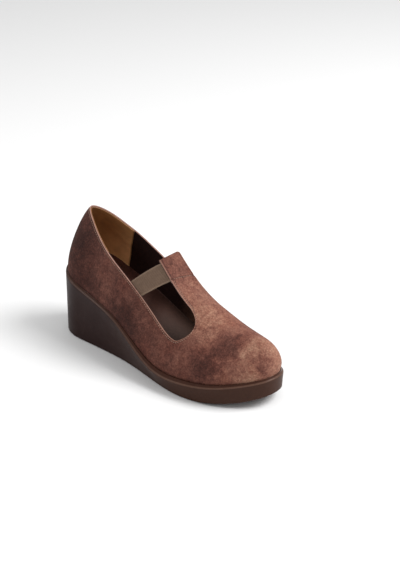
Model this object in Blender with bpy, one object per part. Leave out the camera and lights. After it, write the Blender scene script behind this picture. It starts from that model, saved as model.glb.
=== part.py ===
"""Right shoe of a pair of wedge pumps with a T strap on an elastic instep band.

Units are metres. +X runs from the heel to the toe, +Y to the inner side and +Z
up. The origin is on the floor under the middle of the sole.
The shoe is four pieces: one moulded wedge sole, a one-piece leather upper whose
strap is folded back into a loop, an insole, and an elastic band that runs from
quarter to quarter through the loop.
"""
import bmesh
import bpy
import numpy as np

# Driving sizes of the sole
LENGTH = 0.2400
BALL_WIDTH = 0.0890
HEEL_LIFT = 0.0638
PLATFORM = 0.0146
TOE_SPRING = 0.0101
HEEL_ROUND = 0.0330
TOE_ROUND = 0.0525
WAIST_UNDERCUT = 0.0070
TREAD_RADIUS = 0.0020
RIM_RADIUS = 0.0014
SHOULDER = 0.0058
SHOULDER_RISE = 0.0020
SEAT_DEPTH = 0.0015

# Driving sizes of the upper and its last; both ends of the last's ridge are set in
# from the ends of the sole, and the vamp and the strap are measured from the toe back
LEATHER = 0.0016
COLLAR_BACK = 0.0530
CONE_BACK = 0.0240
CONE_FRONT = 0.0222
INSTEP_HEIGHT = 0.0975
TOE_HEIGHT = 0.0354
VAMP_LENGTH = 0.0688
TOPLINE_ROUND = 0.0280
CUT_ROUND = 0.0130
STRAP_LENGTH = 0.0524
STRAP_WIDTH = 0.0245
STRAP_SHIFT = 0.0012  # strap's middle, inward of the ridge
STRAP_FLARE_OUTER = 0.0022
STRAP_FLARE_INNER = 0.0134
STRAP_CROWN = 0.0012
FOLD_LENGTH = 0.0262
FOLD_INSET = 0.0020  # folded part, narrower at each edge
FOLD_TAPER = 0.0035

# Insole, elastic band and the clearances between pieces
INSOLE_THICK = 0.0030
BAND_WIDTH = 0.0178
BAND_THICK = 0.0012
BAND_TUCK = 0.0110
BAND_SWEEP = 0.0290
BAND_BOW_SHARE = 0.30
BAND_SETBACK = 0.0028
GAP = 0.0003

# Roundness of the plan outline's two ends and of the cut-outs' front, as exponents of a superellipse
HEEL_POWER = 2.4
TOE_POWER = 2.4
CUT_POWER = 2.0

# Tip of the cut-outs' front, as a share of the way up from the topline to the strap's edge
CUT_TIP_SHARE = 0.65

# Where the tread leaves the floor, as a share of the length, and the part of the
# waist's undercut that is left half way up the side
SPRING_SHARE = 0.74
BULGE_SHARE = 0.55

# Sole outline: place along the length, outer and inner half width over ball width
OUTLINE_SHARES = (
    (0.00, 0.355, 0.355),
    (0.16, 0.390, 0.352),
    (0.38, 0.470, 0.288),
    (0.58, 0.562, 0.366),
    (0.70, 0.564, 0.436),
    (0.84, 0.480, 0.390),
    (1.00, 0.325, 0.325),
)

# Rim height: place, share of the heel's lift over the platform, share of toe spring
RIM_SHARES = (
    (0.00, 1.00, 0.00),
    (0.16, 0.77, 0.00),
    (0.38, 0.51, 0.00),
    (0.58, 0.05, 0.00),
    (0.70, 0.00, 0.00),
    (0.84, 0.00, 0.30),
    (1.00, 0.00, 1.15),
)

# Side of the sole: place, share of the shoulder, share of the waist's undercut
SIDE_SHARES = (
    (0.00, 0.26, 0.00),
    (0.16, 0.52, 0.25),
    (0.38, 0.47, 1.00),
    (0.58, 0.88, 0.88),
    (0.70, 1.00, 0.40),
    (0.84, 0.77, 0.16),
    (1.00, 0.45, 0.10),
)

# Shoulder between rim and upper: share of its width inward, share of its rise
SHOULDER_SHARES = (
    (0.30, 0.00),
    (0.63, 0.55),
    (1.00, 0.60),
)

# Last's ridge: place along it, sideways over ball width, share of instep, of toe
RIDGE_SHARES = (
    (0.00, 0.030, 0.68, 0.00),
    (0.16, -0.020, 0.82, 0.00),
    (0.34, -0.044, 1.00, 0.00),
    (0.52, -0.031, 0.83, 0.00),
    (0.68, -0.017, 0.42, 0.46),
    (0.84, -0.010, 0.09, 0.955),
    (1.00, -0.012, 0.00, 1.00),
)

# Last's sections: place, then rise, crown and fullness of the outer and inner side
SECTION_POWERS = (
    (0.00, 1.85, 1.85, 0.025, 1.85, 1.85, 0.025),
    (0.16, 1.20, 1.35, 0.020, 1.70, 1.90, 0.050),
    (0.34, 1.08, 1.25, 0.010, 1.95, 2.00, 0.130),
    (0.52, 1.12, 1.55, 0.025, 2.20, 2.00, 0.150),
    (0.68, 1.22, 1.95, 0.065, 2.16, 2.12, 0.095),
    (0.84, 1.78, 2.10, 0.068, 2.15, 2.10, 0.058),
    (1.00, 2.40, 2.30, 0.050, 2.40, 2.30, 0.050),
)

# Topline: place, height over the sole's feather line as a share of the collar's back
TOPLINE_SHARES = (
    (0.00, 1.00, 1.00),
    (0.10, 0.93, 1.01),
    (0.20, 0.83, 0.94),
    (0.30, 0.75, 0.78),
    (0.40, 0.71, 0.69),
    (0.50, 0.69, 0.62),
    (0.60, 0.575, 0.56),
    (0.66, 0.46, 0.49),
)

# Mesh steps
BACK_STEPS = 26
ROUND_STEPS = 6
FRONT_STEPS = 20
QUARTER_STEPS = 8
HALF_STRAP_STEPS = 3
BEND_STEPS = 6
RETURN_STEPS = 7
BAND_STEPS = 4
TUCK_ROWS = 3
SPAN_ROWS = 8
LOOP_ROWS = 4

OUTER, INNER = -1, 1
STATION_STEP = 1e-3


def curve(table, column, place):
    """Natural cubic spline through one column of a table, read at given places."""
    xs = np.array([row[0] for row in table])
    ys = np.array([row[column] for row in table])
    count = len(xs)
    step = np.diff(xs)
    system = np.eye(count)
    right = np.zeros(count)
    for i in range(1, count - 1):
        system[i, i - 1:i + 2] = step[i - 1], 2 * (step[i - 1] + step[i]), step[i]
        right[i] = 6 * ((ys[i + 1] - ys[i]) / step[i] - (ys[i] - ys[i - 1]) / step[i - 1])
    bend = np.linalg.solve(system, right)
    place = np.clip(np.asarray(place, float), xs[0], xs[-1])
    k = np.clip(np.searchsorted(xs, place) - 1, 0, count - 2)
    width = xs[k + 1] - xs[k]
    t = (place - xs[k]) / width
    s = 1 - t
    return s * ys[k] + t * ys[k + 1] + width ** 2 / 6 * ((s ** 3 - s) * bend[k] + (t ** 3 - t) * bend[k + 1])


def smooth(t):
    """Ease from 0 to 1."""
    t = np.clip(t, 0, 1)
    return t * t * (3 - 2 * t)


def along(a):
    """Distance from the heel at station a, which runs 0 at the heel to 1 at the toe."""
    return LENGTH * (1 - np.cos(np.pi * np.asarray(a, float))) / 2


def station(x):
    """Station at a distance from the heel."""
    return np.arccos(1 - 2 * x / LENGTH) / np.pi


def pace(a):
    """Distance along the shoe for one unit of station."""
    return LENGTH * np.pi / 2 * np.sin(np.pi * a)


def plan(a, side):
    """Rim outline in plan: half width by table, rounded at both ends."""
    x = along(a)
    heel = np.clip(1 - x / HEEL_ROUND, 0, 1)
    toe = np.clip(1 - (LENGTH - x) / TOE_ROUND, 0, 1)
    rounding = (1 - heel ** HEEL_POWER) ** (1 / HEEL_POWER) * (1 - toe ** TOE_POWER) ** (1 / TOE_POWER)
    half = BALL_WIDTH * curve(OUTLINE_SHARES, 1 if side == OUTER else 2, x / LENGTH)
    return x, side * half * rounding


def outline(a, side, inset, height):
    """Points at a distance inside the rim outline, at given heights."""
    a = np.asarray(a, float)
    x, y = plan(a, side)
    x0, y0 = plan(np.clip(a - STATION_STEP, 0, 1), side)
    x1, y1 = plan(np.clip(a + STATION_STEP, 0, 1), side)
    at_heel = a <= 0
    at_toe = a >= 1
    tx = np.where(at_heel | at_toe, 0.0, x1 - x0)
    ty = np.where(at_heel, side, np.where(at_toe, -side, y1 - y0))
    size = np.hypot(tx, ty)
    x = x + inset * side * ty / size
    y = y - inset * side * tx / size
    return np.stack(np.broadcast_arrays(x, y, height), -1)


def rim_height(a):
    place = along(a) / LENGTH
    return PLATFORM + (HEEL_LIFT - PLATFORM) * curve(RIM_SHARES, 1, place) + TOE_SPRING * curve(RIM_SHARES, 2, place)


def tread_height(a):
    """Underside: flat from the heel to the ball, then rising to the toe spring."""
    u = np.clip((along(a) / LENGTH - SPRING_SHARE) / (1 - SPRING_SHARE), 0, 1)
    return TOE_SPRING * u ** 2


def ledge(a):
    """How far the upper stands inside the sole's rim."""
    return SHOULDER * curve(SIDE_SHARES, 1, along(a) / LENGTH)


def bed_height(a):
    """Floor of the seat that the upper and the insole lie in."""
    return rim_height(a) + SHOULDER_RISE - SEAT_DEPTH


def feather(a, side):
    """Line where the upper leaves the sole."""
    return outline(a, side, ledge(a), rim_height(a) + SHOULDER_RISE)


def ridge(a):
    """Top centre line of the last, from the back of the collar to the toe."""
    g = (1 - np.cos(np.pi * np.asarray(a, float))) / 2
    x = CONE_BACK + (LENGTH - CONE_FRONT - CONE_BACK) * g
    height = INSTEP_HEIGHT * curve(RIDGE_SHARES, 2, g) + TOE_HEIGHT * curve(RIDGE_SHARES, 3, g)
    return np.stack([x, BALL_WIDTH * curve(RIDGE_SHARES, 1, g), rim_height(station(x)) + height], -1)


def section(a, side, column):
    """Rise, crown or fullness of the last's section, for column 1, 2 or 3."""
    return curve(SECTION_POWERS, column if side == OUTER else column + 3, a)


def last(a, side, angle):
    """Point of the last: angle 0 at the feather line, a quarter turn at the ridge.

    height share h = sin(angle) ** (2 / rise)
    width share q = cos(angle) ** (2 / crown) + fullness * 256 / 27 * h * (1 - h) ** 3,
    whose last term peaks at the fullness, a quarter of the way up.
    The height also follows the ridge's slope, so that both sides meet smoothly.
    """
    a, angle = np.broadcast_arrays(np.asarray(a, float), angle)
    foot = feather(a, side)
    top = ridge(a)
    h = np.sin(angle) ** (2 / section(a, side, 1))
    q = np.clip(np.cos(angle), 0, 1) ** (2 / section(a, side, 2))
    q = q + section(a, side, 3) * 256 / 27 * h * (1 - h) ** 3
    before = ridge(np.clip(a - STATION_STEP, 0, 1))
    after = ridge(np.clip(a + STATION_STEP, 0, 1))
    slope = (after[..., 2] - before[..., 2]) / (after[..., 0] - before[..., 0])
    point = top + (foot - top) * q[..., None]
    rise = foot[..., 2] + (top[..., 2] - foot[..., 2]) * h
    point[..., 2] = rise + slope * (point[..., 0] - top[..., 0]) * h ** 2
    return point


def last_frame(a, side, angle):
    """Unit vectors toward the heel and straight out of the last, and the pace per station."""
    a = np.clip(a, 2 * STATION_STEP, 1 - 2 * STATION_STEP)
    lower = np.clip(angle, 2 * STATION_STEP, np.pi / 2 - 2 * STATION_STEP)
    back = last(a - STATION_STEP, side, lower)
    front = last(a + STATION_STEP, side, lower)
    down = last(a, side, lower - STATION_STEP)
    up = last(a, side, lower + STATION_STEP)
    run = (front - back) / (2 * STATION_STEP)
    size = np.linalg.norm(run, axis=-1)
    out = np.cross(up - down, run) * side
    out = out / np.linalg.norm(out, axis=-1)[..., None]
    return -run / size[..., None], out, size


CUT_STATION = station(LENGTH - VAMP_LENGTH)
STRAP_STATION = station(LENGTH - VAMP_LENGTH - STRAP_LENGTH)
ROUND_STATION = CUT_STATION - CUT_ROUND / pace(CUT_STATION)


def edge_angles(a, side):
    """Angles of the topline and of the strap's edge; both meet at the cut-out's front."""
    a = np.asarray(a, float)
    foot = feather(a, side)
    top = ridge(a)
    share = curve(TOPLINE_SHARES, 1 if side == OUTER else 2, along(a) / LENGTH)
    h = np.clip(share * COLLAR_BACK / (top[..., 2] - foot[..., 2]), 0, 1)
    topline = np.arcsin(h ** (section(a, side, 1) / 2))
    t = np.clip((a - STRAP_STATION) / (CUT_STATION - STRAP_STATION), 0, 1)
    half = STRAP_WIDTH / 2 + STRAP_SHIFT * side + (STRAP_FLARE_OUTER if side == OUTER else STRAP_FLARE_INNER) * t
    reach = np.linalg.norm((foot - top)[..., :2], axis=-1)
    strap = np.arccos(np.clip(half / reach, 0, 1) ** (section(a, side, 2) / 2))
    middle = topline + CUT_TIP_SHARE * (strap - topline)
    turned = []
    for rounding in (TOPLINE_ROUND, CUT_ROUND):
        w = np.clip(1 - (CUT_STATION - a) * pace(CUT_STATION) / rounding, 0, 1)
        turned.append((1 - w ** CUT_POWER) ** (1 / CUT_POWER))
    return middle + (topline - middle) * turned[0], middle + (strap - middle) * turned[1]


def strap_point(a, share):
    """Point of the strap, at a share of its width from its outer edge.

    Near the cut-outs' front it lies on the last. Toward its end it is drawn taut: a
    straight line from edge to edge, raised in the middle by half a sine wave.
    """
    a, share = np.broadcast_arrays(np.asarray(a, float), share)
    lower = {side: edge_angles(a, side)[1] for side in (OUTER, INNER)}
    edges = {side: last(a, side, lower[side]) for side in (OUTER, INNER)}
    before, after = (sum(last(a + step, side, edge_angles(a + step, side)[1]) for side in (OUTER, INNER))
                     for step in (-STATION_STEP, STATION_STEP))
    half = {OUTER: np.clip(2 * share, 0, 1), INNER: np.clip(2 - 2 * share, 0, 1)}
    lying = {side: last(a, side, lower[side] + (np.pi / 2 - lower[side]) * half[side]) for side in (OUTER, INNER)}
    lying = np.where(share[..., None] < 0.5, lying[OUTER], lying[INNER])
    across = edges[INNER] - edges[OUTER]
    up = np.cross(after - before, across)
    up = up / np.linalg.norm(up, axis=-1)[..., None]
    taut = edges[OUTER] + across * share[..., None] + STRAP_CROWN * np.sin(np.pi * share)[..., None] * up
    pull = smooth(1.5 * (CUT_STATION - a) / (CUT_STATION - STRAP_STATION))
    return lying + (taut - lying) * pull[..., None]


def strap_frame(a, share):
    """Unit vectors toward the heel and straight out of the strap, and the pace per station."""
    share = np.clip(share, STATION_STEP, 1 - STATION_STEP)
    run = strap_point(a + STATION_STEP, share) - strap_point(a - STATION_STEP, share)
    run = run / (2 * STATION_STEP)
    across = strap_point(a, share + STATION_STEP) - strap_point(a, share - STATION_STEP)
    out = np.cross(run, across)
    size = np.linalg.norm(run, axis=-1)
    return -run / size[..., None], out / np.linalg.norm(out, axis=-1)[..., None], size


def stations():
    """Stations of every piece: even, then close together where the cut-outs round off."""
    back = np.linspace(0, ROUND_STATION, BACK_STEPS, endpoint=False)
    turn = np.sin(np.linspace(0, np.pi / 2, ROUND_STEPS, endpoint=False))
    turn = ROUND_STATION + (CUT_STATION - ROUND_STATION) * turn
    front = np.linspace(CUT_STATION, 1, FRONT_STEPS + 1)
    return np.concatenate([back, turn, front])


STATIONS = stations()
CUT_INDEX = BACK_STEPS + ROUND_STEPS


class Body:
    """Grids of points that are gathered into one mesh."""

    def __init__(self):
        self.points = []
        self.faces = []

    def grid(self, rows, flip=False):
        """Add a sheet of quads through rows of points."""
        rows = np.asarray(rows)
        start = len(self.points)
        self.points.extend(rows.reshape(-1, 3))
        high, wide = rows.shape[:2]
        for i in range(high - 1):
            for j in range(wide - 1):
                k = start + i * wide + j
                face = (k, k + 1, k + wide + 1, k + wide)
                self.faces.append(face[::-1] if flip else face)

    def build(self, name, material, sheet=0.0, sharp=40.0):
        """Join equal points, thicken a sheet inward and make the object."""
        mesh = bpy.data.meshes.new(name)
        mesh.from_pydata([tuple(p) for p in self.points], [], self.faces)
        work = bmesh.new()
        work.from_mesh(mesh)
        bmesh.ops.remove_doubles(work, verts=work.verts, dist=1e-6)
        bmesh.ops.dissolve_degenerate(work, edges=work.edges, dist=1e-7)
        work.to_mesh(mesh)
        work.free()
        mesh.shade_smooth()
        mesh.set_sharp_from_angle(angle=np.radians(sharp))
        mesh.materials.append(material)
        made = bpy.data.objects.new(name, mesh)
        bpy.context.scene.collection.objects.link(made)
        made.location = (-LENGTH / 2, -middle_across(), 0)
        if sheet:
            shell = made.modifiers.new("thickness", 'SOLIDIFY')
            shell.thickness = sheet
            shell.offset = -1
            shell.use_even_offset = True
        return made


def middle_across():
    """Middle of the sole between its widest points."""
    outer = plan(STATIONS, OUTER)[1].min()
    inner = plan(STATIONS, INNER)[1].max()
    return (outer + inner) / 2


def finish(name, colour, roughness):
    """Plain Principled material."""
    material = bpy.data.materials.new(name)
    material.use_nodes = True
    shader = material.node_tree.nodes["Principled BSDF"]
    shader.inputs["Base Color"].default_value = (*colour, 1)
    shader.inputs["Roughness"].default_value = roughness
    shader.inputs["Metallic"].default_value = 0
    return material


def ring(inset, height):
    """Closed ring around the shoe: outer side to the toe, inner side back to the heel."""
    there = outline(STATIONS, OUTER, inset, height)
    back = outline(STATIONS, INNER, inset, height)[::-1]
    return np.concatenate([there, back])


def disc(body, inset, height, flip=False):
    """Lid across a ring, from its outer to its inner side."""
    outer = outline(STATIONS, OUTER, inset, height)
    inner = outline(STATIONS, INNER, inset, height)
    body.grid([outer, inner], flip)


def make_sole():
    """Wedge, rim, shoulder and the seat that the upper stands in, as one moulding."""
    body = Body()
    tread = tread_height(STATIONS)
    rim = rim_height(STATIONS)
    under = WAIST_UNDERCUT * curve(SIDE_SHARES, 2, along(STATIONS) / LENGTH)
    shelf = ledge(STATIONS)
    bed = bed_height(STATIONS)
    corner = 1 - np.sqrt(0.5)
    low = under + TREAD_RADIUS
    rings = [
        (low, tread),
        (under + TREAD_RADIUS * corner, tread + TREAD_RADIUS * corner),
        (under, tread + TREAD_RADIUS),
        (under * BULGE_SHARE, (tread + rim) / 2),
        (0 * under, rim - RIM_RADIUS),
        (0 * under + RIM_RADIUS * corner, rim - RIM_RADIUS * corner),
    ]
    for inward, upward in SHOULDER_SHARES:
        rings.append(((shelf - GAP) * inward, rim + SHOULDER_RISE * upward))
    rings.append((shelf - GAP, bed))
    body.grid([ring(inset, height) for inset, height in rings])
    disc(body, low, tread, flip=True)
    disc(body, shelf - GAP, bed)
    return body.build("wedge_sole", finish("moulded polyurethane", (0.045, 0.030, 0.026), 0.45))


def insole_edge(side):
    """Upper edge of the insole along one side, a gap inside the leather."""
    tall = ridge(STATIONS)[:, 2] - feather(STATIONS, side)[:, 2]
    share = (GAP + INSOLE_THICK - SEAT_DEPTH) / tall
    angle = np.arcsin(share ** (section(STATIONS, side, 1) / 2))
    _, out, _ = last_frame(STATIONS, side, angle)
    return last(STATIONS, side, angle) - (LEATHER + GAP) * out


def make_insole():
    """Insole that lies on the seat inside the upper."""
    body = Body()
    inset = ledge(STATIONS) + LEATHER + GAP
    low = bed_height(STATIONS) + GAP
    edges = {side: insole_edge(side) for side in (OUTER, INNER)}
    for end in (0, -1):
        edges[OUTER][end] = edges[INNER][end] = (edges[OUTER][end] + edges[INNER][end]) / 2
    rim = np.concatenate([edges[OUTER], edges[INNER][::-1]])
    body.grid([ring(inset, low), ring(inset, low + SEAT_DEPTH - GAP), rim])
    disc(body, inset, low, flip=True)
    body.grid([edges[OUTER], edges[INNER]])
    return body.build("insole", finish("brown leather sock", (0.10, 0.05, 0.03), 0.6))


def foot_of(a, side):
    """Hem of the upper, inside the seat under its feather line."""
    return outline(a, side, ledge(a), bed_height(a) + GAP)


def quarter_column(a, side, topline):
    """Points up one side: hem, feather line, then up the last to the topline."""
    angles = np.linspace(0, topline, QUARTER_STEPS + 1)
    return np.concatenate([foot_of(a, side)[None], last(a, side, angles)])


def strap_column(a, depth=0.0, swing=0.0, radius=0.0, inset=0.0):
    """Points across the strap, lowered by depth or swung around its end, set in from its edges."""
    shares = np.linspace(inset, STRAP_WIDTH - inset, 2 * HALF_STRAP_STEPS + 1) / STRAP_WIDTH
    heelward, out, _ = strap_frame(a, shares)
    swung = radius * (np.sin(swing) * heelward - (1 - np.cos(swing)) * out)
    return strap_point(a, shares) - depth * out + swung


def strap_columns():
    """Strap from the cut-outs back to its end, around the fold and back under itself."""
    columns = []
    shared = CUT_INDEX
    half_step = ROUND_STATION / BACK_STEPS / 2
    while STATIONS[shared] > STRAP_STATION + half_step:
        columns.append(strap_column(STATIONS[shared]))
        shared -= 1
    radius = LEATHER + GAP + BAND_THICK / 2
    for swing in np.linspace(0, np.pi, BEND_STEPS + 1):
        columns.append(strap_column(STRAP_STATION, 0.0, swing, radius, FOLD_INSET * swing / np.pi))
    size = strap_frame(STRAP_STATION, 0.5)[2]
    for step in np.linspace(0, 1, RETURN_STEPS + 1)[1:]:
        a = STRAP_STATION + FOLD_LENGTH / size * step
        closing = smooth((FOLD_LENGTH * (step - 1) + FOLD_TAPER) / FOLD_TAPER)
        depth = 2 * radius + (2 * LEATHER + GAP - 2 * radius) * closing
        columns.append(strap_column(a, depth, inset=FOLD_INSET))
    return columns


def make_upper():
    """Leather upper: two quarters, the vamp and the folded T strap, as one sheet."""
    body = Body()
    tops = {side: edge_angles(STATIONS, side)[0] for side in (OUTER, INNER)}
    for side in (OUTER, INNER):
        columns = []
        for k in range(CUT_INDEX + 1):
            columns.append(quarter_column(STATIONS[k], side, tops[side][k]))
        body.grid(columns, flip=side == OUTER)
    body.grid(strap_columns())
    even = np.pi / 2 * QUARTER_STEPS / (QUARTER_STEPS + HALF_STRAP_STEPS)
    columns = []
    for k in range(CUT_INDEX, len(STATIONS)):
        a = STATIONS[k]
        mix = smooth((a - CUT_STATION) / (1 - CUT_STATION))
        split = {side: tops[side][CUT_INDEX] * (1 - mix) + even * mix for side in (OUTER, INNER)}
        outer = quarter_column(a, OUTER, split[OUTER])
        inner = quarter_column(a, INNER, split[INNER])[::-1]
        middle = vamp_middle(a, split)
        columns.append(np.concatenate([outer[:-1], middle, inner[1:]]))
    body.grid(columns, flip=True)
    return body.build("upper", finish("brushed suede", (0.115, 0.055, 0.042), 0.85), sheet=LEATHER)


def vamp_middle(a, split):
    """Points over the vamp between its two split angles."""
    outer = last(a, OUTER, np.linspace(split[OUTER], np.pi / 2, HALF_STRAP_STEPS + 1))
    inner = last(a, INNER, np.linspace(split[INNER], np.pi / 2, HALF_STRAP_STEPS + 1))
    return np.concatenate([outer, inner[-2::-1]])


def band_row(middle, side, angle, sweep):
    """Points across the band's width at one angle of the last, just inside the leather."""
    size = last_frame(middle, side, angle)[2]
    across = BAND_WIDTH * np.linspace(0.5, -0.5, BAND_STEPS + 1)
    a = middle + (across - sweep) / size
    _, out, _ = last_frame(a, side, angle)
    return last(a, side, angle) - (LEATHER + GAP) * out


def loop_row(middle, share):
    """Points across the band's width inside the strap's loop."""
    size = strap_frame(middle, share)[2]
    a = middle + BAND_WIDTH * np.linspace(0.5, -0.5, BAND_STEPS + 1) / size
    return strap_point(a, share) - (LEATHER + GAP) * strap_frame(a, share)[1]


def band_half(middle, side, loop_edge):
    """Rows of the band from its tucked end up to the loop, on one side."""
    size = last_frame(middle, side, np.pi / 2)[2]
    landing = middle - BAND_SWEEP / size
    topline = edge_angles(landing, side)[0]
    strap = edge_angles(middle, side)[1]
    tall = ridge(landing)[2] - feather(landing, side)[2]
    rise = section(landing, side, 1)
    tuck = np.arcsin((np.sin(topline) ** (2 / rise) - BAND_TUCK / tall) ** (rise / 2))
    rows = []
    for angle in np.linspace(tuck, topline, TUCK_ROWS, endpoint=False):
        rows.append(band_row(middle, side, angle, BAND_SWEEP * (strap - angle) / (strap - topline)))
    landing_row = band_row(middle, side, topline, BAND_SWEEP)
    crossing_row = band_row(middle, side, strap, 0)
    for share in np.linspace(0, 1, SPAN_ROWS, endpoint=False):
        draped = band_row(middle, side, topline + (strap - topline) * share, BAND_SWEEP * (1 - share))
        bow = draped - landing_row - (crossing_row - landing_row) * share
        rows.append(landing_row + (loop_edge - landing_row) * share + bow * BAND_BOW_SHARE)
    return rows


def make_band():
    """Elastic band from the outer quarter through the strap's loop to the inner quarter."""
    body = Body()
    size = strap_frame(STRAP_STATION, 0.5)[2]
    middle = STRAP_STATION + (BAND_SETBACK + BAND_WIDTH / 2) / size
    loop = [loop_row(middle, share) for share in np.linspace(0, 1, 2 * LOOP_ROWS + 1)]
    inner = band_half(middle, INNER, loop[-1])
    body.grid(band_half(middle, OUTER, loop[0]) + loop + inner[::-1], flip=True)
    return body.build("elastic_band", finish("woven elastic", (0.155, 0.120, 0.085), 0.8), sheet=BAND_THICK)


def main():
    for old in list(bpy.data.objects):
        bpy.data.objects.remove(old, do_unlink=True)
    make_sole()
    make_insole()
    make_upper()
    make_band()


main()
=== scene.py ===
import math

import bmesh
import bpy
import numpy as np
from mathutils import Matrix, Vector


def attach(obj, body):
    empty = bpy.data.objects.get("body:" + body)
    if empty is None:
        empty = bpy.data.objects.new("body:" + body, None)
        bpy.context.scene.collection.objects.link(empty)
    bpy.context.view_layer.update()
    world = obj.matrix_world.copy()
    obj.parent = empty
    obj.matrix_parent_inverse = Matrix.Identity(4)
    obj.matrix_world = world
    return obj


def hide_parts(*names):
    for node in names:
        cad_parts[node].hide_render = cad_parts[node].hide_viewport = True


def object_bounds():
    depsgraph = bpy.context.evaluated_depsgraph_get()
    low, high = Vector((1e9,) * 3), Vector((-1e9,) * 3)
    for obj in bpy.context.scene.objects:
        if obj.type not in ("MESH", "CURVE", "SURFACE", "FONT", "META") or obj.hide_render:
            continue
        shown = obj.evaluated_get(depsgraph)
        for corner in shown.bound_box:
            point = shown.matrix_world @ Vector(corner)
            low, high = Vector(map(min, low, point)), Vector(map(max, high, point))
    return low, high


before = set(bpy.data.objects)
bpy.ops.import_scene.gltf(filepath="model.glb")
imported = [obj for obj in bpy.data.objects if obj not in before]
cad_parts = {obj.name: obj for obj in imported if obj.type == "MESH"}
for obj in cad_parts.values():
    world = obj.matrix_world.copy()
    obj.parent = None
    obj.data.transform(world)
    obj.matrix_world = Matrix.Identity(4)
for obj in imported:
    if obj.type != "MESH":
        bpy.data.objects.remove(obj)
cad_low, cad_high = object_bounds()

# Sizes that the CAD part has too
LENGTH = cad_high.x - cad_low.x
BALL_WIDTH = 0.0890
HEEL_LIFT = 0.0638
PLATFORM = 0.0146
TOE_SPRING = 0.0101
HEEL_ROUND = 0.0330
TOE_ROUND = 0.0525
WAIST_UNDERCUT = 0.0070
TREAD_RADIUS = 0.0020
RIM_RADIUS = 0.0014
SHOULDER = 0.0058
SHOULDER_RISE = 0.0020
SEAT_DEPTH = 0.0015
LEATHER = 0.0016
COLLAR_BACK = 0.0530
CONE_BACK = 0.0240
CONE_FRONT = 0.0222
INSTEP_HEIGHT = 0.0975
TOE_HEIGHT = 0.0354
VAMP_LENGTH = 0.0688
TOPLINE_ROUND = 0.0280
CUT_ROUND = 0.0130
STRAP_LENGTH = 0.0524
STRAP_WIDTH = 0.0245
STRAP_SHIFT = 0.0012
STRAP_FLARE_OUTER = 0.0022
STRAP_FLARE_INNER = 0.0134
STRAP_CROWN = 0.0012
STRAP_PULL = 1.5
FOLD_LENGTH = 0.0262
FOLD_INSET = 0.0020
FOLD_TAPER = 0.0035
INSOLE_THICK = 0.0030
BAND_WIDTH = 0.0178
BAND_THICK = 0.0012
BAND_TUCK = 0.0110
BAND_SWEEP = 0.0290
BAND_BOW_SHARE = 0.30
BAND_SETBACK = 0.0028
GAP = 0.0003
FOLD_RADIUS = LEATHER + GAP + BAND_THICK / 2
HEEL_POWER = 2.4
TOE_POWER = 2.4
CUT_POWER = 2.0
CUT_TIP_SHARE = 0.65
SPRING_SHARE = 0.74
BULGE_SHARE = 0.55

# Sizes that only the dressed model has
SUEDE = 0.0011
LINING = 0.00045
STITCH_INSET = 0.0018
FURROW_HALF_WIDTH = 0.0006
STITCH_PITCH = 0.0021
STITCH_LENGTH = 0.0016
THREAD = 0.00042
LOOP_SEAM = 0.0215
SEAM_DEPTH = 0.00045
SEAM_WIDTH = 0.0011
SEAM_MARK = 0.0008
PICK_PITCH = 0.0008
RIB_PITCH = 0.0011
SELVAGE = 0.0016
SELVAGE_EASE = 0.0006
LOOP_STITCH_MARGIN_SHARE = 0.07
STITCH_END_POWER = 0.7
STITCH_AHEAD = 0.0001
HEEL_LINING_FOOT = 0.0400
HEEL_LINING_TOP = 0.0520
HEEL_LINING_POWER = 1.3
HEEL_LINING_OUTER_LEAD = 0.0030
LINING_OVERLAP = 0.0120
LINING_CLEARANCE = 0.00005
INSOLE_DISH = 0.0010
DISH_POWER = 0.6
DISH_FADE_WIDTH = 0.0300
# Levels of the sole's edge_distance attribute: the rim rows, which get a painted highlight, the
# roll, and the crease by the upper, which gets painted shade
RIM_VALUE, ROLL_VALUE, CREASE_VALUE = 0.3, 1.0, 2.0
SHELF_TO_RIM_SHARE = 0.9
SHOULDER_LEVEL_SHARE = 0.60
SHOULDER_EASE = 1.25
BEAD_SHARE = 0.10
TREAD_PITCH = 0.0085
TREAD_DEPTH = 0.0012
TREAD_MARGIN = 0.0070
TREAD_MARGIN_FADE = 0.0030
TREAD_SWEEP = 0.12
GROOVE_START = 0.15
GROOVE_EASE = 0.5
TREAD_ZONES = ((0.03, 0.26), (0.60, 0.95))
ZONE_FADE = 0.03

# Rounding of cut edges, and what the mesh clean-up merges
SUEDE_EDGE_ROUND = 0.00028
LINING_EDGE_ROUND = 0.00012
BAND_EDGE_ROUND = 0.00025
SHARP_EDGE = math.radians(50)
WELD_DISTANCE = 2e-6
SLIVER = 1e-7

# Tables that the CAD part has too, as shares of the sizes above; each row starts with its
# place along the shoe
OUTLINE_SHARES = (  # outer and inner half width
    (0.00, 0.355, 0.355),
    (0.16, 0.390, 0.352),
    (0.38, 0.470, 0.288),
    (0.58, 0.562, 0.366),
    (0.70, 0.564, 0.436),
    (0.84, 0.480, 0.390),
    (1.00, 0.325, 0.325),
)
RIM_SHARES = (  # heel lift, toe spring
    (0.00, 1.00, 0.00),
    (0.16, 0.77, 0.00),
    (0.38, 0.51, 0.00),
    (0.58, 0.05, 0.00),
    (0.70, 0.00, 0.00),
    (0.84, 0.00, 0.30),
    (1.00, 0.00, 1.15),
)
SIDE_SHARES = (  # shoulder, waist undercut
    (0.00, 0.26, 0.00),
    (0.16, 0.52, 0.25),
    (0.38, 0.47, 1.00),
    (0.58, 0.88, 0.88),
    (0.70, 1.00, 0.40),
    (0.84, 0.77, 0.16),
    (1.00, 0.45, 0.10),
)
RIDGE_SHARES = (  # sideways, instep height, toe height
    (0.00, 0.030, 0.68, 0.00),
    (0.16, -0.020, 0.82, 0.00),
    (0.34, -0.044, 1.00, 0.00),
    (0.52, -0.031, 0.83, 0.00),
    (0.68, -0.017, 0.42, 0.46),
    (0.84, -0.010, 0.09, 0.955),
    (1.00, -0.012, 0.00, 1.00),
)
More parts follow.
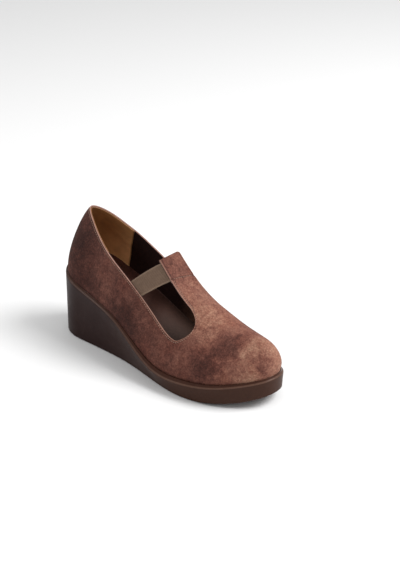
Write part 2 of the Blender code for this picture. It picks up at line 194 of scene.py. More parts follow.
SECTION_POWERS = (  # rise, crown and fullness, outer then inner
    (0.00, 1.85, 1.85, 0.025, 1.85, 1.85, 0.025),
    (0.16, 1.20, 1.35, 0.020, 1.70, 1.90, 0.050),
    (0.34, 1.08, 1.25, 0.010, 1.95, 2.00, 0.130),
    (0.52, 1.12, 1.55, 0.025, 2.20, 2.00, 0.150),
    (0.68, 1.22, 1.95, 0.065, 2.16, 2.12, 0.095),
    (0.84, 1.78, 2.10, 0.068, 2.15, 2.10, 0.058),
    (1.00, 2.40, 2.30, 0.050, 2.40, 2.30, 0.050),
)
TOPLINE_SHARES = (  # collar height, outer then inner
    (0.00, 1.00, 1.00),
    (0.10, 0.93, 1.01),
    (0.20, 0.83, 0.94),
    (0.30, 0.75, 0.78),
    (0.40, 0.71, 0.69),
    (0.50, 0.69, 0.62),
    (0.60, 0.575, 0.56),
    (0.66, 0.46, 0.49),
)

# Soft folds worn into the leather: two ends as shares of length, ball width and instep
# height, then width and depth in millimetres; a negative depth is a ridge
FOLDS = (
    ((0.745, -0.30, 0.30), (0.775, 0.10, 0.47), 3.2, 0.42),
    ((0.790, -0.26, 0.28), (0.812, 0.14, 0.40), 3.6, 0.36),
    ((0.775, -0.30, 0.28), (0.795, 0.12, 0.43), 3.4, -0.26),
    ((0.10, -0.32, 0.95), (0.25, -0.40, 0.72), 5.0, 0.55),
    ((0.22, -0.38, 0.90), (0.34, -0.44, 0.62), 6.0, 0.50),
    ((0.09, 0.30, 0.95), (0.24, 0.34, 0.72), 5.0, 0.50),
    ((0.40, -0.40, 0.66), (0.52, -0.50, 0.42), 6.0, 0.40),
    ((0.40, 0.28, 0.66), (0.52, 0.34, 0.42), 6.0, 0.40),
)

OUTER, INNER = SIDES = (-1, 1)
STATION_STEP = 1e-3

# Mesh steps
BACK_STEPS = 104
ROUND_STEPS = 18
FRONT_STEPS = 84
QUARTER_STEPS = 44
HALF_STRAP_STEPS = 13
STRAP_STEPS = 90
BEND_STEPS = 16
RETURN_STEPS = 22
LINING_STEPS = 69
SOLE_STEPS = 300
TREAD_CORNER_STEPS = 6
SIDE_STEPS = 25
RIM_STEPS = 7
SHOULDER_STEPS = 12
TREAD_STEPS = 44
SOCK_STEPS = 40
BAND_HALF_STEPS = 10
TUCK_STEPS = 12
SPAN_STEPS = 34
LOOP_STEPS = 26
STITCH_RINGS = 5
STITCH_SIDES = 6
LOOP_SEAM_STEPS = 39

# Photograph's camera, which looks at a point over the middle of the shoe, and the lights
CAMERA_AZIMUTH = 43.18
CAMERA_ELEVATION = 26.45
CAMERA_DISTANCE = 1.172
CAMERA_TARGET_HEIGHT = 0.05
PHOTO_WIDTH = 400
PHOTO_HEIGHT = 570
PIXELS_PER_METRE = 1130
TARGET_PIXEL = (172.24, 307.99)
SENSOR_WIDTH = 36
FLOOR_SIZE = 12
FLOOR_GREY = 0.80
SKY_STRENGTH = 0.66
LIGHTS = (  # name, place, size and power
    ("key", (0.9, 0.7, 1.3), 1.0, 32),
    ("rim", (-0.80, -0.62, 0.84), 0.30, 3.0),
)
LIGHT_TARGET = (0, 0, 0.04)


def curve(table, column, place):
    """Natural cubic spline through one column of a table, read at given places."""
    xs = np.array([row[0] for row in table])
    ys = np.array([row[column] for row in table])
    count = len(xs)
    step = np.diff(xs)
    system = np.eye(count)
    right = np.zeros(count)
    for i in range(1, count - 1):
        system[i, i - 1:i + 2] = step[i - 1], 2 * (step[i - 1] + step[i]), step[i]
        right[i] = 6 * ((ys[i + 1] - ys[i]) / step[i] - (ys[i] - ys[i - 1]) / step[i - 1])
    bend = np.linalg.solve(system, right)
    place = np.clip(np.asarray(place, float), xs[0], xs[-1])
    k = np.clip(np.searchsorted(xs, place) - 1, 0, count - 2)
    width = xs[k + 1] - xs[k]
    t = (place - xs[k]) / width
    s = 1 - t
    curl = (s ** 3 - s) * bend[k] + (t ** 3 - t) * bend[k + 1]
    return s * ys[k] + t * ys[k + 1] + width ** 2 / 6 * curl


def smooth(t):
    """Ease from 0 to 1: t squared times (3 - 2 t)."""
    t = np.clip(t, 0, 1)
    return t * t * (3 - 2 * t)


def length_of(vectors):
    return np.linalg.norm(vectors, axis=-1)


def unit(vectors):
    return vectors / length_of(vectors)[..., None]


def run_along(path):
    """Distance from the start of a path to each of its points."""
    return np.concatenate([[0], np.cumsum(length_of(np.diff(path, axis=0)))])


def along(a):
    """Distance from the heel at station a: half a cosine wave from heel to toe."""
    return LENGTH * (1 - np.cos(np.pi * np.asarray(a, float))) / 2


def station(x):
    """Station at a distance from the heel."""
    return np.arccos(1 - 2 * x / LENGTH) / np.pi


def pace(a):
    """Distance along the shoe for one unit of station."""
    return LENGTH * np.pi / 2 * np.sin(np.pi * a)


def plan(a, side):
    """Rim outline in plan: half width by table, rounded at both ends by superellipses."""
    x = along(a)
    heel = np.clip(1 - x / HEEL_ROUND, 0, 1)
    toe = np.clip(1 - (LENGTH - x) / TOE_ROUND, 0, 1)
    rounding = (1 - heel ** HEEL_POWER) ** (1 / HEEL_POWER)
    rounding = rounding * (1 - toe ** TOE_POWER) ** (1 / TOE_POWER)
    half = BALL_WIDTH * curve(OUTLINE_SHARES, 1 if side == OUTER else 2, x / LENGTH)
    return x, side * half * rounding


def outline(a, side, inset, height):
    """Points moved square to the rim outline by the inset, at given heights."""
    a = np.asarray(a, float)
    x, y = plan(a, side)
    x0, y0 = plan(np.clip(a - STATION_STEP, 0, 1), side)
    x1, y1 = plan(np.clip(a + STATION_STEP, 0, 1), side)
    at_heel = a <= 0
    at_toe = a >= 1
    tx = np.where(at_heel | at_toe, 0.0, x1 - x0)
    ty = np.where(at_heel, side, np.where(at_toe, -side, y1 - y0))
    size = np.hypot(tx, ty)
    x = x + inset * side * ty / size
    y = y - inset * side * tx / size
    return np.stack(np.broadcast_arrays(x, y, height), -1)


def rim_height(a):
    place = along(a) / LENGTH
    lift = (HEEL_LIFT - PLATFORM) * curve(RIM_SHARES, 1, place)
    return PLATFORM + lift + TOE_SPRING * curve(RIM_SHARES, 2, place)


def tread_height(a):
    """Underside: flat from the heel to the ball, then a parabola up to the toe spring."""
    u = np.clip((along(a) / LENGTH - SPRING_SHARE) / (1 - SPRING_SHARE), 0, 1)
    return TOE_SPRING * u ** 2


def ledge(a):
    """How far the upper stands inside the sole's rim."""
    return SHOULDER * curve(SIDE_SHARES, 1, along(a) / LENGTH)


def bed_height(a):
    return rim_height(a) + SHOULDER_RISE - SEAT_DEPTH


def feather(a, side):
    """Line where the upper leaves the sole."""
    return outline(a, side, ledge(a), rim_height(a) + SHOULDER_RISE)


def ridge(a):
    """Top centre line of the last, from the back of the collar to the toe."""
    g = (1 - np.cos(np.pi * np.asarray(a, float))) / 2
    x = CONE_BACK + (LENGTH - CONE_FRONT - CONE_BACK) * g
    y = BALL_WIDTH * curve(RIDGE_SHARES, 1, g)
    height = INSTEP_HEIGHT * curve(RIDGE_SHARES, 2, g) + TOE_HEIGHT * curve(RIDGE_SHARES, 3, g)
    return np.stack([x, y, rim_height(station(x)) + height], -1)


def section(a, side, column):
    """Rise, crown or fullness of the last's section, for column 1, 2 or 3."""
    return curve(SECTION_POWERS, column if side == OUTER else column + 3, a)


def last(a, side, angle):
    """Point of the last: angle 0 at the feather line, a quarter turn at the ridge.

    height share h = sin(angle) ** (2 / rise)
    width share q = cos(angle) ** (2 / crown) + fullness * 256 / 27 * h * (1 - h) ** 3
    The height also follows the ridge's slope, so that both sides meet smoothly.
    """
    a, angle = np.broadcast_arrays(np.asarray(a, float), angle)
    foot = feather(a, side)
    top = ridge(a)
    h = np.sin(angle) ** (2 / section(a, side, 1))
    q = np.clip(np.cos(angle), 0, 1) ** (2 / section(a, side, 2))
    q = q + section(a, side, 3) * 256 / 27 * h * (1 - h) ** 3
    before = ridge(np.clip(a - STATION_STEP, 0, 1))
    after = ridge(np.clip(a + STATION_STEP, 0, 1))
    slope = (after[..., 2] - before[..., 2]) / (after[..., 0] - before[..., 0])
    point = top + (foot - top) * q[..., None]
    rise = foot[..., 2] + (top[..., 2] - foot[..., 2]) * h
    point[..., 2] = rise + slope * (point[..., 0] - top[..., 0]) * h ** 2
    return point


def last_frame(a, side, angle):
    """Unit vectors toward the heel and straight out of the last, and the pace per station."""
    a, angle = np.broadcast_arrays(np.asarray(a, float), angle)
    a = np.clip(a, 2 * STATION_STEP, 1 - 2 * STATION_STEP)
    lower = np.clip(angle, 2 * STATION_STEP, np.pi / 2 - 2 * STATION_STEP)
    back = last(a - STATION_STEP, side, lower)
    front = last(a + STATION_STEP, side, lower)
    down = last(a, side, lower - STATION_STEP)
    up = last(a, side, lower + STATION_STEP)
    run = (front - back) / (2 * STATION_STEP)
    return -unit(run), unit(np.cross(up - down, run) * side), length_of(run)


def worn(point):
    """Depth of the soft folds: each is depth * exp(-(distance to its line / width) squared)."""
    depth = np.zeros(point.shape[:-1])
    scale = np.array([LENGTH, BALL_WIDTH, INSTEP_HEIGHT])
    for start, end, width, deep in FOLDS:
        start = np.array(start) * scale
        run = np.array(end) * scale - start
        t = np.clip((point - start) @ run / (run @ run), 0, 1)
        distance = length_of(point - start - t[..., None] * run)
        depth += deep / 1000 * np.exp(-(distance / (width / 1000)) ** 2)
    return depth


def wall(a, side, angle, depth=0.0):
    """Point a depth inside the outer face of the leather, folds included."""
    point = last(a, side, angle)
    out = last_frame(a, side, angle)[1]
    if np.ndim(a) and np.ndim(point) == 3:
        for end, place in ((0, 0), (-1, 1)):
            if abs(np.ravel(np.asarray(a)[end])[0] - place) < 1e-9:
                out[end, :, 1] = 0
                out[end] = unit(out[end])
    return point - (depth + worn(point))[..., None] * out


CUT_STATION = station(LENGTH - VAMP_LENGTH)
STRAP_STATION = station(LENGTH - VAMP_LENGTH - STRAP_LENGTH)
ROUND_STATION = CUT_STATION - CUT_ROUND / pace(CUT_STATION)


def edge_angles(a, side):
    """Angles of the topline and of the strap's edge; both meet at the cut-out's front."""
    a = np.asarray(a, float)
    foot = feather(a, side)
    top = ridge(a)
    share = curve(TOPLINE_SHARES, 1 if side == OUTER else 2, along(a) / LENGTH)
    h = np.clip(share * COLLAR_BACK / (top[..., 2] - foot[..., 2]), 0, 1)
    topline = np.arcsin(h ** (section(a, side, 1) / 2))
    t = np.clip((a - STRAP_STATION) / (CUT_STATION - STRAP_STATION), 0, 1)
    flare = STRAP_FLARE_OUTER if side == OUTER else STRAP_FLARE_INNER
    half = STRAP_WIDTH / 2 + STRAP_SHIFT * side + flare * t
    reach = length_of((foot - top)[..., :2])
    strap = np.arccos(np.clip(half / reach, 0, 1) ** (section(a, side, 2) / 2))
    middle = topline + CUT_TIP_SHARE * (strap - topline)
    turned = []
    for rounding in (TOPLINE_ROUND, CUT_ROUND):
        w = np.clip(1 - (CUT_STATION - a) * pace(CUT_STATION) / rounding, 0, 1)
        turned.append((1 - w ** CUT_POWER) ** (1 / CUT_POWER))
    return middle + (topline - middle) * turned[0], middle + (strap - middle) * turned[1]


def edge_sum(a):
    """Sum of the strap's two edge points, which runs along its middle."""
    return sum(last(a, side, edge_angles(a, side)[1]) for side in SIDES)


def strap_point(a, share):
    """Point of the strap, at a share of its width from its outer edge.

    Near the cut-outs' front it lies on the last. Toward its end it is drawn taut: a
    straight line from edge to edge, raised in the middle by half a sine wave.
    """
    a, share = np.broadcast_arrays(np.asarray(a, float), share)
    lower = {side: edge_angles(a, side)[1] for side in SIDES}
    edges = {side: last(a, side, lower[side]) for side in SIDES}
    half = {OUTER: np.clip(2 * share, 0, 1), INNER: np.clip(2 - 2 * share, 0, 1)}
    on_last = {side: last(a, side, lower[side] + (np.pi / 2 - lower[side]) * half[side])
               for side in SIDES}
    lying = np.where(share[..., None] < 0.5, on_last[OUTER], on_last[INNER])
    across = edges[INNER] - edges[OUTER]
    up = unit(np.cross(edge_sum(a + STATION_STEP) - edge_sum(a - STATION_STEP), across))
    crown = STRAP_CROWN * np.sin(np.pi * share)[..., None] * up
    taut = edges[OUTER] + across * share[..., None] + crown
    pull = smooth(STRAP_PULL * (CUT_STATION - a) / (CUT_STATION - STRAP_STATION))
    return lying + (taut - lying) * pull[..., None]


def strap_frame(a, share):
    """Unit vectors toward the heel and straight out of the strap, and the pace per station."""
    share = np.clip(share, STATION_STEP, 1 - STATION_STEP)
    run = strap_point(a + STATION_STEP, share) - strap_point(a - STATION_STEP, share)
    run = run / (2 * STATION_STEP)
    across = strap_point(a, share + STATION_STEP) - strap_point(a, share - STATION_STEP)
    return -unit(run), unit(np.cross(run, across)), length_of(run)


# Stations of the mesh rows: closer together round the cut-outs' front
ROUND_TURN = np.sin(np.linspace(0, np.pi / 2, ROUND_STEPS + 1))
ROUND_TURN = ROUND_STATION + (CUT_STATION - ROUND_STATION) * ROUND_TURN
BACK_STATIONS = np.concatenate([
    np.linspace(0, ROUND_STATION, BACK_STEPS, endpoint=False), ROUND_TURN])
FRONT_STATIONS = np.linspace(CUT_STATION, 1, FRONT_STEPS + 1)
STRAP_STATIONS = np.concatenate([
    ROUND_TURN[::-1], np.linspace(ROUND_STATION, STRAP_STATION, STRAP_STEPS)[1:]])
SOLE_STATIONS = np.linspace(0, 1, SOLE_STEPS + 1)


def middle_across():
    """Middle of the sole between its widest points."""
    return (plan(SOLE_STATIONS, OUTER)[1].min() + plan(SOLE_STATIONS, INNER)[1].max()) / 2


ORIGIN = np.array([cad_low.x, -middle_across(), 0.0])


class Piece:
    """Grids of points that become one mesh.

    Each vertex may carry its distance to a cut edge and its flat coordinates.
    """

    def __init__(self):
        self.points = []
        self.faces = []
        self.edge = []
        self.flat = []
        self.count = 0

    def grid(self, rows, flip=False, edge=None, flat=None):
        """Add quads through rows of points, with edge distances and flat coordinates."""
        high, wide = rows.shape[:2]
        number = self.count + np.arange(high * wide).reshape(high, wide)
        corners = [number[:-1, :-1], number[:-1, 1:], number[1:, 1:], number[1:, :-1]]
        if flip:
            corners.reverse()
        self.faces.append(np.stack(corners, -1).reshape(-1, 4))
        self.points.append(rows.reshape(-1, 3))
        edge = np.full((high, wide), 1.0) if edge is None else edge
        flat = np.zeros((high, wide, 2)) if flat is None else flat
        self.edge.append(edge.reshape(-1))
        self.flat.append(flat.reshape(-1, 2))
        self.count += high * wide

    def build(self, name, materials, sheet=0.0, round_edge=0.0, rim=0):
        """Make the object: merge seams, thicken a sheet inward, round its edges."""
        points = np.concatenate(self.points) + ORIGIN
        faces = np.concatenate(self.faces)
        mesh = bpy.data.meshes.new(name)
        mesh.vertices.add(len(points))
        mesh.vertices.foreach_set("co", points.astype(np.float32).ravel())
        mesh.loops.add(faces.size)
        mesh.loops.foreach_set("vertex_index", faces.ravel().astype(np.int32))
        mesh.polygons.add(len(faces))
        mesh.polygons.foreach_set("loop_start", np.arange(0, faces.size, 4, dtype=np.int32))
        mesh.update(calc_edges=True)
        edge = mesh.attributes.new("edge_distance", 'FLOAT', 'POINT')
        edge.data.foreach_set("value", np.concatenate(self.edge).astype(np.float32))
        uv = mesh.uv_layers.new(name="flat")
        flat = np.concatenate(self.flat)[faces.ravel()]
        uv.data.foreach_set("uv", flat.astype(np.float32).ravel())
        work = bmesh.new()
        work.from_mesh(mesh)
        bmesh.ops.remove_doubles(work, verts=work.verts, dist=WELD_DISTANCE)
        bmesh.ops.dissolve_degenerate(work, edges=work.edges, dist=SLIVER)
        work.to_mesh(mesh)
        work.free()
        mesh.shade_smooth()
        for material in materials:
            mesh.materials.append(material)
        made = bpy.data.objects.new(name, mesh)
        bpy.context.scene.collection.objects.link(made)
        if sheet:
            shell = made.modifiers.new("thickness", 'SOLIDIFY')
            shell.thickness = sheet
            shell.offset = -1
            shell.material_offset_rim = rim
        if round_edge:
            bevel = made.modifiers.new("rounded edge", 'BEVEL')
            bevel.width = round_edge
            bevel.segments = 2
            bevel.limit_method = 'ANGLE'
            bevel.angle_limit = SHARP_EDGE
            bevel.harden_normals = True
        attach(made, "root")
        return made


def colour(hexa):
    """Linear colour of an sRGB hex value."""
    parts = [int(hexa[k:k + 2], 16) / 255 for k in (1, 3, 5)]
    return (*[c / 12.92 if c <= 0.04045 else ((c + 0.055) / 1.055) ** 2.4 for c in parts], 1.0)


def add(tree, kind, links=(), values=(), **settings):
    """Add a node, set its properties, its input values and its incoming links."""
    made = tree.nodes.new(kind)
    for name, value in settings.items():
        setattr(made, name, value)
    for socket, value in dict(values).items():
        made.inputs[socket].default_value = value
    for socket, source in dict(links).items():
        tree.links.new(source, made.inputs[socket])
    return made


def maths(tree, operation, *terms):
    """Math node; each term is a socket or a number."""
    made = add(tree, "ShaderNodeMath", operation=operation)
    for socket, term in zip(made.inputs, terms):
        if isinstance(term, (int, float)):
            socket.default_value = term
        else:
            tree.links.new(term, socket)
    return made.outputs[0]


def new_material(name, **sockets):
    """Principled material with values on the shader's own sockets."""
    material = bpy.data.materials.new(name)
    material.use_nodes = True
    tree = material.node_tree
    shader = tree.nodes["Principled BSDF"]
    for socket, value in sockets.items():
        shader.inputs[socket.replace("_", " ")].default_value = value
    return material, tree, shader


def ramp(tree, source, stops):
    """Colour ramp with (place, hex colour) stops."""
    made = add(tree, "ShaderNodeValToRGB", links={0: source})
    band = made.color_ramp
    while len(band.elements) < len(stops):
        band.elements.new(0.5)
    for element, (place, shade) in zip(band.elements, stops):
        element.position = place
        element.color = colour(shade)
    return made.outputs["Color"]


def millimetres(tree):
    """Object coordinates in millimetres."""
    place = add(tree, "ShaderNodeTexCoord").outputs["Object"]
    scaled = add(tree, "ShaderNodeVectorMath", links={0: place}, operation='SCALE')
    scaled.inputs["Scale"].default_value = 1000
    return scaled.outputs[0]


def axes(tree, place):
    """The three coordinates of a place, each as a socket."""
    return add(tree, "ShaderNodeSeparateXYZ", links={0: place}).outputs


def edge_value(tree):
    """The edge_distance attribute of the mesh."""
    return add(tree, "ShaderNodeAttribute", attribute_name="edge_distance").outputs["Fac"]


def cloudy(tree, place, size, detail=4.0, rough=0.55, stir=0.0):
    """Noise whose blotches are about size millimetres across."""
    made = add(tree, "ShaderNodeTexNoise", links={"Vector": place},
               values={"Scale": 1 / size, "Detail": detail, "Roughness": rough, "Distortion": stir})
    return made.outputs


def between(tree, source, low, high, start=0.0, end=1.0, smoothly=False):
    """Value mapped from one range to another, held at its ends."""
    made = add(tree, "ShaderNodeMapRange", links={0: source},
               values={1: low, 2: high, 3: start, 4: end})
    made.interpolation_type = 'SMOOTHSTEP' if smoothly else 'LINEAR'
    return made.outputs[0]


def blend(tree, share, below, above, kind='MIX'):
    """Colour blend; each colour is a socket or a hex value."""
    made = add(tree, "ShaderNodeMix", data_type='RGBA', blend_type=kind)
    for socket, value in ((0, share), (6, below), (7, above)):
        if isinstance(value, str):
            made.inputs[socket].default_value = colour(value)
        elif isinstance(value, float):
            made.inputs[socket].default_value = value
        else:
            tree.links.new(value, made.inputs[socket])
    return made.outputs[2]


def spot(tree, place, centre, radius):
    """1 at a centre, falling smoothly to 0 at a radius; both in millimetres."""
    away = add(tree, "ShaderNodeVectorMath", links={0: place}, values={1: centre},
               operation='DISTANCE')
    return between(tree, away.outputs["Value"], radius * SPOT_CORE_SHARE, radius, 1.0, 0.0, True)


def mottle(tree, shader, base, place, size, spread=0.12):
    """Multiply a colour by fine noise and give it to the shader."""
    fine = between(tree, cloudy(tree, place, size)[0], 0.3, 0.7, 1 - spread, 1 + spread)
    grey = add(tree, "ShaderNodeCombineColor", links={0: fine, 1: fine, 2: fine})
    tree.links.new(blend(tree, 1.0, base, grey.outputs[0], 'MULTIPLY'), shader.inputs["Base Color"])


def relief(tree, shader, height, strength, distance):
    """Bump from a height socket, on the shader's normal."""
    bump = add(tree, "ShaderNodeBump", links={"Height": height},
               values={"Strength": strength, "Distance": distance})
    tree.links.new(bump.outputs[0], shader.inputs["Normal"])


# Where the dye is rubbed dark or pale: centre and radius in millimetres, then strength
DARK_SMOKE = (
    ((83, -13, 50), 21, 0.95), ((71, -30, 37), 22, 0.90), ((114, -6, 40), 13, 0.90),
    ((98, -24, 36), 14, 0.35), ((60, -6, 58), 8, 0.45), ((8, -4, 92), 26, 0.45),
    ((-82, -30, 92), 34, 0.60), ((-66, -34, 62), 18, 0.35), ((-22, -40, 52), 26, 0.60),
    ((8, -46, 38), 20, 0.45), ((-112, 0, 84), 32, 0.75), ((80, 24, 44), 24, 0.75),
    ((44, 44, 32), 22, 0.55), ((-30, 36, 58), 26, 0.55), ((-84, 34, 90), 30, 0.55),
    ((30, 4, 78), 9, 0.30), ((100, 22, 36), 16, 0.50),
)
PALE_RUBS = (
    ((97, -7, 48), 10, 0.70), ((92, -30, 34), 12, 0.45), ((-50, -36, 62), 26, 0.55),
    ((-96, -34, 74), 16, 0.25), ((52, -4, 63), 22, 0.80), ((104, -14, 44), 20, 0.15),
    ((104, 4, 46), 18, 0.25), ((34, -48, 34), 22, 0.35), ((56, 36, 42), 24, 0.50),
    ((-52, 38, 64), 26, 0.45), ((112, -22, 30), 14, 0.40), ((4, 38, 46), 22, 0.35),
)
SMOKE_WEIGHT, RUB_WEIGHT = -0.31, 0.28
SMOKE_STIR = 36
SPOT_CORE_SHARE = 0.25

# Mottling of the suede: blotch size in millimetres, detail, roughness, stir, then the noise
# value that counts as dark and the change of tone
SUEDE_CLOUDS = (
    (34, 3, 0.50, 0.4, 0.25, 0.16),
    (6, 6, 0.72, 0.3, 0.28, 0.17),
    (1.7, 3, 0.75, 0.0, 0.30, 0.16),
)
SUEDE_TONES = (
    (0.00, "#2b1410"), (0.20, "#41231c"), (0.42, "#59352c"),
    (0.62, "#70473b"), (0.82, "#855b4b"), (1.00, "#98725e"),
)


def brushed_suede():
    """Cow suede, pull-up dyed and brushed: a matt nap, dark at the heel and paler at the toe,
    with smoky rubs whose grainy edges show where the brush lifted the dye. Painted shade darkens
    both sides and the stitch furrows; the cut edges are paler, partly from rubbed wear and partly
    a painted highlight."""
    material, tree, shader = new_material(
        "distressed_brushed_suede", Roughness=0.84, Specular_IOR_Level=0.22,
        Sheen_Weight=0.10, Sheen_Roughness=0.40)
    shader.inputs["Sheen Tint"].default_value = colour("#c79a86")
    mm = millimetres(tree)
    stir = add(tree, "ShaderNodeVectorMath", links={0: cloudy(tree, mm, 9, 6, 0.68)[1]},
               values={1: (0.5, 0.5, 0.5)}, operation='SUBTRACT').outputs[0]
    stirred = add(tree, "ShaderNodeVectorMath", links={0: stir, 2: mm},
                  values={1: [SMOKE_STIR] * 3}, operation='MULTIPLY_ADD').outputs[0]
    x, y, _ = axes(tree, mm)
    tone = between(tree, x, -118, 62, 0.28, 0.76, True)
    for size, detail, rough, swirl, dark, change in SUEDE_CLOUDS:
        cloud = cloudy(tree, mm, size, detail, rough, swirl)[0]
        tone = maths(tree, 'ADD', tone, between(tree, cloud, dark, 1 - dark, -change, change))
    # Painted shade: the suede is darker down both sides of the shoe, away from its middle line.
    painted_side_shade = between(tree, maths(tree, 'ABSOLUTE', y), 16, 44, 0.0, -0.36, True)
    tone = maths(tree, 'ADD', tone, painted_side_shade)
    for spots, weight in ((DARK_SMOKE, SMOKE_WEIGHT), (PALE_RUBS, RUB_WEIGHT)):
        for centre, radius, strength in spots:
            near = spot(tree, stirred, centre, radius)
            tone = maths(tree, 'MULTIPLY_ADD', near, strength * weight, tone)
    shade = ramp(tree, tone, SUEDE_TONES)
    warm = between(tree, cloudy(tree, mm, 19, 3, 0.5, 0.5)[0], 0.4, 0.65, 0.0, 0.55)
    shade = blend(tree, warm, shade, "#e2c4bc", 'MULTIPLY')
    edge = edge_value(tree)
    # Painted shade: a dark line along the stitch furrow, at the stitch inset from each cut edge.
    painted_furrow_shade = maths(tree, 'COMPARE', edge, STITCH_INSET, FURROW_HALF_WIDTH)
    shade = blend(tree, maths(tree, 'MULTIPLY', painted_furrow_shade, 0.45), shade, "#24120f")
    # Paler along the cut edges: partly rubbed wear and partly a painted highlight on the edge.
    rubbed_edge_and_highlight = between(tree, edge, 0.0002, 0.0008, 0.60, 0.0)
    shade = blend(tree, rubbed_edge_and_highlight, shade, "#a07c6a")
    mottle(tree, shader, shade, mm, 1.3, 0.26)
    relief(tree, shader, cloudy(tree, mm, 1.3, 5, 0.75)[0], 0.7, 0.0008)
    return material


def raw_edge():
    """Cut edge of the hide: pale undyed fibre, fuzzy and matt."""
    material, tree, shader = new_material("raw_suede_edge", Roughness=0.9, Specular_IOR_Level=0.2)
    mm = millimetres(tree)
    shade = ramp(tree, cloudy(tree, mm, 6)[0], ((0.3, "#84635a"), (0.7, "#9f7c70")))
    mottle(tree, shader, shade, mm, 0.9, 0.18)
    relief(tree, shader, cloudy(tree, mm, 0.7)[0], 0.4, 0.0003)
    return material


def moulded_sole():
    """Injection-moulded polyurethane: dark brown, satin on the wedge from a fine mould grain,
    with a painted highlight along the rim, glossier on the roll beside the upper, and near-black
    painted shade in its crease."""
    material, tree, shader = new_material(
        "moulded_polyurethane", Specular_IOR_Level=0.08, Coat_Weight=0.04, Coat_Roughness=0.2)
    mm = millimetres(tree)
    forward = between(tree, axes(tree, mm)[0], -70, 70, 0.0, 1.0, True)
    roll = edge_value(tree)
    shade = blend(tree, forward, "#251311", "#3b251c")
    shade = blend(tree, between(tree, roll, RIM_VALUE, ROLL_VALUE), shade, "#3d241b")
    # Painted highlight: a pale line on the rim rows, along the rim's edge.
    edge = maths(tree, 'COMPARE', roll, RIM_VALUE, 0.16)
    shade = blend(tree, maths(tree, 'MULTIPLY', edge, 0.24), shade, "#86695b")
    # Painted shade: near black in the crease where the roll meets the upper.
    shade = blend(tree, between(tree, roll, ROLL_VALUE, CREASE_VALUE), shade, "#0d0706")
    scuff = between(tree, cloudy(tree, mm, 9, 6, 0.65, 0.5)[0], 0.52, 0.80, 0.0, 0.25)
    shade = blend(tree, scuff, shade, "#43322c")
    mottle(tree, shader, shade, mm, 3.0, 0.08)
    worn_rough = between(tree, cloudy(tree, mm, 14, 5, 0.6)[0], 0.3, 0.7, 0.36, 0.50)
    glossy = maths(tree, 'MULTIPLY_ADD', between(tree, roll, 0, RIM_VALUE), -0.20, worn_rough)
    tree.links.new(glossy, shader.inputs["Roughness"])
    relief(tree, shader, cloudy(tree, mm, 0.8, 3, 0.6)[0], 0.12, 0.0002)
    return material


def lining_leather():
    """Pigskin heel lining: tan, smooth and slightly waxy, with painted shade round the back of the
    heel and toward the topline."""
    material, tree, shader = new_material(
        "tan_lining_leather", Roughness=0.46, Specular_IOR_Level=0.4)
    mm = millimetres(tree)
    x, _, z = axes(tree, mm)
    # Painted shade: darker round the back of the heel.
    back = between(tree, x, -115, -72, 0.0, 1.0, True)
    shade = blend(tree, back, "#b37f50", "#e2b07c")
    # Painted shade: darker toward the topline.
    high = between(tree, z, 70, 98, 0.0, 0.75, True)
    shade = blend(tree, high, shade, "#85542a")
    hem = between(tree, edge_value(tree), 0.0006, 0.0016, 0.6, 0.0)
    shade = blend(tree, hem, shade, "#4f2d13")
    mottle(tree, shader, shade, mm, 7.0, 0.12)
    relief(tree, shader, cloudy(tree, mm, 0.9, 4, 0.6)[0], 0.2, 0.0003)
    return material


def lining_cloth():
    """Brushed cotton drill behind the vamp and quarters: near-black brown at the quarters,
    painted lighter toward the ball where it lies in shade, and matt."""
    material, tree, shader = new_material(
        "dark_lining_cloth", Roughness=0.92, Specular_IOR_Level=0.15)
    mm = millimetres(tree)
    # Painted light: the cloth is made lighter toward the ball, where it lies in shade.
    forward = between(tree, axes(tree, mm)[0], -16, 20, 0.0, 1.0, True)
    mottle(tree, shader, blend(tree, forward, "#24120f", "#73503f"), mm, 4.0, 0.22)
    relief(tree, shader, cloudy(tree, mm, 0.8, 3, 0.6)[0], 0.3, 0.0003)
    return material


def sock_leather():
    """Insole sock in corrected-grain leather: reddish brown at the heel, greyer toward the ball,
    with painted shade under the vamp."""
    material, tree, shader = new_material("sock_leather", Roughness=0.55, Specular_IOR_Level=0.2)
    mm = millimetres(tree)
    x = axes(tree, mm)[0]
    forward = between(tree, x, -70, 30, 0.0, 1.0, True)
    shade = blend(tree, forward, "#4c2d26", "#3b2920")
    trodden = between(tree, cloudy(tree, mm, 22, 4, 0.6, 0.3)[0], 0.45, 0.75, 0.0, 0.35)
    shade = blend(tree, trodden, shade, "#3a2822")
    # Painted shade: darker under the vamp, toward the toe.
    painted_shade_under_vamp = between(tree, x, 8, 46, 0.0, 0.85, True)
    shade = blend(tree, painted_shade_under_vamp, shade, "#1d130f")
    mottle(tree, shader, shade, mm, 2.4, 0.12)
    relief(tree, shader, cloudy(tree, mm, 0.9, 4, 0.6)[0], 0.18, 0.0003)
    return material


